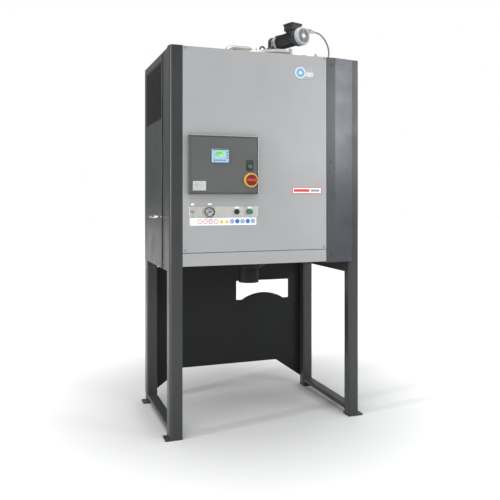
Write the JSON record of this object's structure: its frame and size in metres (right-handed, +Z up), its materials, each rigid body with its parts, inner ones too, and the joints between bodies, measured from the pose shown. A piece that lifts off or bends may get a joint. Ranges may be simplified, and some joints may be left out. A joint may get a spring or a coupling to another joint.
{
  "type": "solvent recovery machine",
  "caption": "Free-standing cabinet on four tall legs holding a stirred boiler, with a roof gearmotor, control box, air controls and room for a container below.",
  "frame": {"origin": "centre of the four floor anchor holes, at floor level", "axes": "+Z up, front faces -Y, +X to the right seen from the front"},
  "size_m": [1.186, 0.7694, 2.281],
  "materials": {
    "anthracite_paint": "fine textured powder coat, satin",
    "light_grey_paint": "fine textured powder coat, satin",
    "dark_box_paint": "powder coat, satin",
    "black_paint": "gloss enamel",
    "stainless": "brushed",
    "chrome": "polished",
    "bare_aluminium": "as cast",
    "zinc_steel": "zinc plated",
    "brass": "nickelled brass",
    "black_plastic": "matte moulded",
    "bezel_plastic": "satin moulded",
    "green_plastic": "gloss moulded",
    "red_plastic": "gloss moulded",
    "yellow_plastic": "gloss moulded",
    "label_film": "printed film",
    "clear_glass": "clear",
    "cable_jacket": "grey jacket",
    "mineral_wool": "foil faced wool",
    "white_plastic": "blade plastic",
    "actuator_paint": "anodised dark"
  },
  "bodies": {
    "cabinet": {"front_left_column": "anthracite_paint", "front_right_column": "anthracite_paint", "rear_columns": "anthracite_paint", "foot_plates": "anthracite_paint", "frame_rails": "anthracite_paint", "front_panel": "light_grey_paint", "front_lower_panel": "light_grey_paint", "right_corner_cover": "anthracite_paint", "left_side_strip": "anthracite_paint", "right_side_panel": "anthracite_paint", "roof_panel": "anthracite_paint", "cabinet_floor": "anthracite_paint", "rear_upper_panel": "anthracite_paint", "rear_lower_panel": "anthracite_paint", "panel_screws": "zinc_steel", "enclosure_body": "dark_box_paint", "door_hinges": "anthracite_paint", "pneumatic_plate": "stainless", "gauge_case": "black_plastic", "gauge_lens": "clear_glass", "air_collars": "black_plastic", "blank_labels": "label_film", "boiler_vessel": "stainless", "oil_jacket": "stainless", "boiler_insulation": "mineral_wool", "heating_rods": "zinc_steel", "boiler_lid": "stainless", "lid_clamps": "stainless", "lifting_eye": "black_paint", "seal_housing": "stainless", "valve_body": "actuator_paint", "valve_actuator": "actuator_paint", "discharge_chute": "anthracite_paint", "gearbox": "black_paint", "motor_body": "black_paint", "terminal_box": "black_paint", "fan_cowl": "bare_aluminium", "cable_gland": "brass", "motor_cable": "cable_jacket", "vapour_pipe": "stainless", "condenser_core": "bare_aluminium", "fan_shroud": "black_paint"},
    "side_door": {"side_door": "anthracite_paint", "side_door_grille": "anthracite_paint", "side_door_handle": "chrome"},
    "control_door": {"enclosure_door": "dark_box_paint", "operator_panel": "bezel_plastic", "start_button_holder": "black_plastic", "main_switch_ring": "yellow_plastic"},
    "start_button": {"start_button": "green_plastic"},
    "main_switch": {"main_switch_handle": "red_plastic"},
    "gauge_needle": {"gauge_pointer": "black_plastic"},
    "flow_knob": {"flow_knob": "brass"},
    "air_selector": {"air_selector": "black_plastic"},
    "air_button": {"air_button": "green_plastic"},
    "stirrer": {"scraper_shaft": "stainless", "scraper_blades": "white_plastic"},
    "motor_rotor": {"motor_fan": "black_plastic"},
    "condenser_fan": {"condenser_fan": "black_plastic"},
    "valve_disc": {"valve_disc": "stainless"}
  },
  "joints": [
    {"name": "side_door_swing", "type": "hinge", "parent": "cabinet", "child": "side_door", "pos_m": [-0.565, -0.181, 1.46], "axis": [0, 0, 1], "range_deg": [0, 110]},
    {"name": "control_door_swing", "type": "hinge", "parent": "cabinet", "child": "control_door", "pos_m": [-0.46, -0.375, 1.445], "axis": [0, 0, -1], "range_deg": [0, 95]},
    {"name": "start_button_press", "type": "slide", "parent": "control_door", "child": "start_button", "axis": [0, 1, 0], "range_m": [0, 0.003], "stiffness_N_per_m": 600},
    {"name": "main_switch_turn", "type": "hinge", "parent": "control_door", "child": "main_switch", "pos_m": [-0.122, -0.384, 1.358], "axis": [0, 1, 0], "range_deg": [0, 90]},
    {"name": "gauge_needle_sweep", "type": "hinge", "parent": "cabinet", "child": "gauge_needle", "pos_m": [-0.348, -0.365, 1.188], "axis": [0, 1, 0], "range_deg": [0, 270], "stiffness_Nm_per_rad": 0.0002},
    {"name": "flow_knob_turn", "type": "hinge", "parent": "cabinet", "child": "flow_knob", "pos_m": [-0.44, -0.365, 1.188], "axis": [0, 1, 0], "range_deg": [0, 360]},
    {"name": "air_selector_turn", "type": "hinge", "parent": "cabinet", "child": "air_selector", "pos_m": [-0.196, -0.365, 1.188], "axis": [0, 1, 0], "range_deg": [0, 60]},
    {"name": "air_button_press", "type": "slide", "parent": "cabinet", "child": "air_button", "axis": [0, 1, 0], "range_m": [0, 0.004], "stiffness_N_per_m": 500},
    {"name": "stirrer_spin", "type": "hinge", "parent": "cabinet", "child": "stirrer", "pos_m": [0.16, 0, 1.7], "axis": [0, 0, 1], "continuous": true},
    {"name": "motor_spin", "type": "hinge", "parent": "cabinet", "child": "motor_rotor", "pos_m": [0.23725, -0.23776, 2.196], "axis": [0.309, -0.9511, 0], "continuous": true},
    {"name": "condenser_fan_spin", "type": "hinge", "parent": "cabinet", "child": "condenser_fan", "pos_m": [-0.384, 0.057, 1.85], "axis": [1, 0, 0], "continuous": true},
    {"name": "discharge_valve_turn", "type": "hinge", "parent": "cabinet", "child": "valve_disc", "pos_m": [0.16, 0, 1.038], "axis": [1, 0, 0], "range_deg": [0, 90]}
  ],
  "couplings": [
    {"joint": "motor_spin", "follows": "stirrer_spin", "ratio": 20}
  ]
}
